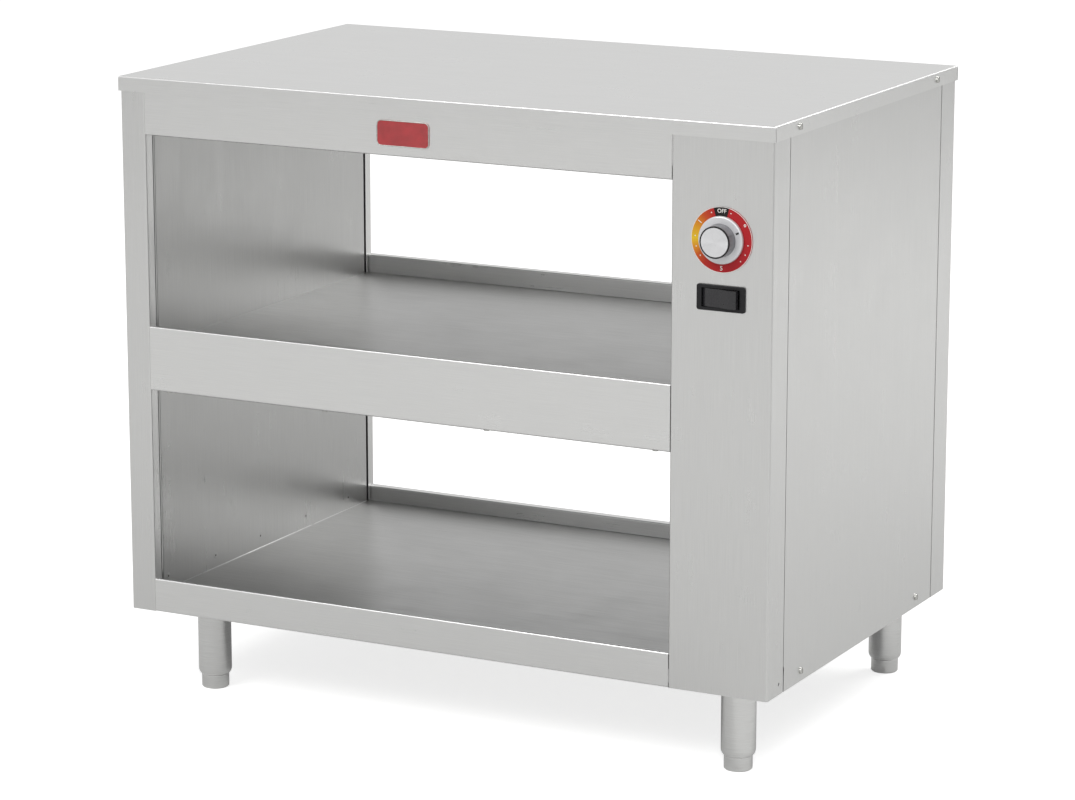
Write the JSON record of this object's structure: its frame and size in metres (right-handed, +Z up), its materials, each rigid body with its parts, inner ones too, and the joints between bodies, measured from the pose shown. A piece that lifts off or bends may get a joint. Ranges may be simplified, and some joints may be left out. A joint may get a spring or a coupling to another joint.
{
  "type": "heated holding shelf",
  "caption": "Open pass-through holding cabinet in folded stainless sheet, with a heated middle shelf, a control compartment with dial and rocker switch, and adjustable legs.",
  "frame": {"origin": "on the floor, under the middle of the cabinet's plan", "axes": "+X to the right seen from the front, -Y is the front with the controls, +Z up"},
  "size_m": [0.8724, 0.5872, 0.769],
  "materials": {
    "stainless_sheet": "satin brushed",
    "galvanised_steel": "plain zinc coated",
    "turned_stainless": "linished",
    "plated_fasteners": "bright zinc plate",
    "heater_sheath": "heat-darkened",
    "mineral_wool": "loose fibre",
    "phenolic": "moulded",
    "black_nylon": "fine moulded grain",
    "printed_dial": "printed and clear coated",
    "silver_plastic": "silver painted",
    "pointer_paint": "filled paint",
    "spun_aluminium": "spun",
    "wire_insulation": "silicone braid",
    "red_enamel": "gloss enamel"
  },
  "bodies": {
    "cabinet": {"base_rail_left": "galvanised_steel", "base_rail_right": "galvanised_steel", "base_shelf": "stainless_sheet", "compartment_floor": "galvanised_steel", "control_panel": "stainless_sheet", "control_partition": "stainless_sheet", "cord_gland": "black_nylon", "dial_plate": "printed_dial", "dial_screws": "plated_fasteners", "front_header": "stainless_sheet", "front_heater": "heater_sheath", "gland_nut": "black_nylon", "heated_shelf": "stainless_sheet", "heater_clamps": "galvanised_steel", "heater_cover": "galvanised_steel", "heater_cover_screws": "plated_fasteners", "high_limit_thermostat": "phenolic", "infinite_switch": "phenolic", "internal_wiring": "wire_insulation", "left_liner": "stainless_sheet", "left_side_panel": "stainless_sheet", "left_wall_closure": "galvanised_steel", "leg_plate_front_left": "galvanised_steel", "leg_plate_front_right": "galvanised_steel", "leg_plate_rear_left": "galvanised_steel", "leg_plate_rear_right": "galvanised_steel", "leg_plate_screws": "plated_fasteners", "leg_tube_front_left": "turned_stainless", "leg_tube_front_right": "turned_stainless", "leg_tube_rear_left": "turned_stainless", "leg_tube_rear_right": "turned_stainless", "nameplate": "red_enamel", "rear_control_cover": "stainless_sheet", "rear_header": "stainless_sheet", "rear_heater": "heater_sheath", "right_side_panel": "stainless_sheet", "rocker_housing": "black_nylon", "shelf_insulation": "mineral_wool", "side_panel_screws": "plated_fasteners", "terminal_block": "phenolic", "top_panel": "stainless_sheet", "top_screws": "plated_fasteners", "top_stiffener": "galvanised_steel"},
    "knob": {"knob": "silver_plastic", "knob_pointer": "pointer_paint", "knob_ring": "black_nylon", "knob_cap": "spun_aluminium", "switch_shaft": "plated_fasteners"},
    "rocker": {"rocker": "black_nylon"},
    "foot_front_left": {"foot_front_left": "turned_stainless"},
    "foot_rear_left": {"foot_rear_left": "turned_stainless"},
    "foot_front_right": {"foot_front_right": "turned_stainless"},
    "foot_rear_right": {"foot_rear_right": "turned_stainless"}
  },
  "joints": [
    {"name": "knob_turn", "type": "hinge", "parent": "cabinet", "child": "knob", "pos_m": [0.369, -0.273, 0.636], "axis": [0, -1, 0], "continuous": true},
    {"name": "rocker_tilt", "type": "hinge", "parent": "cabinet", "child": "rocker", "pos_m": [0.369, -0.2716, 0.569], "axis": [0, 0, 1], "range_deg": [0, 20]},
    {"name": "foot_front_left_adjust", "type": "slide", "parent": "cabinet", "child": "foot_front_left", "axis": [0, 0, -1], "range_m": [0, 0.025]},
    {"name": "foot_rear_left_adjust", "type": "slide", "parent": "cabinet", "child": "foot_rear_left", "axis": [0, 0, -1], "range_m": [0, 0.025]},
    {"name": "foot_front_right_adjust", "type": "slide", "parent": "cabinet", "child": "foot_front_right", "axis": [0, 0, -1], "range_m": [0, 0.025]},
    {"name": "foot_rear_right_adjust", "type": "slide", "parent": "cabinet", "child": "foot_rear_right", "axis": [0, 0, -1], "range_m": [0, 0.025]}
  ]
}
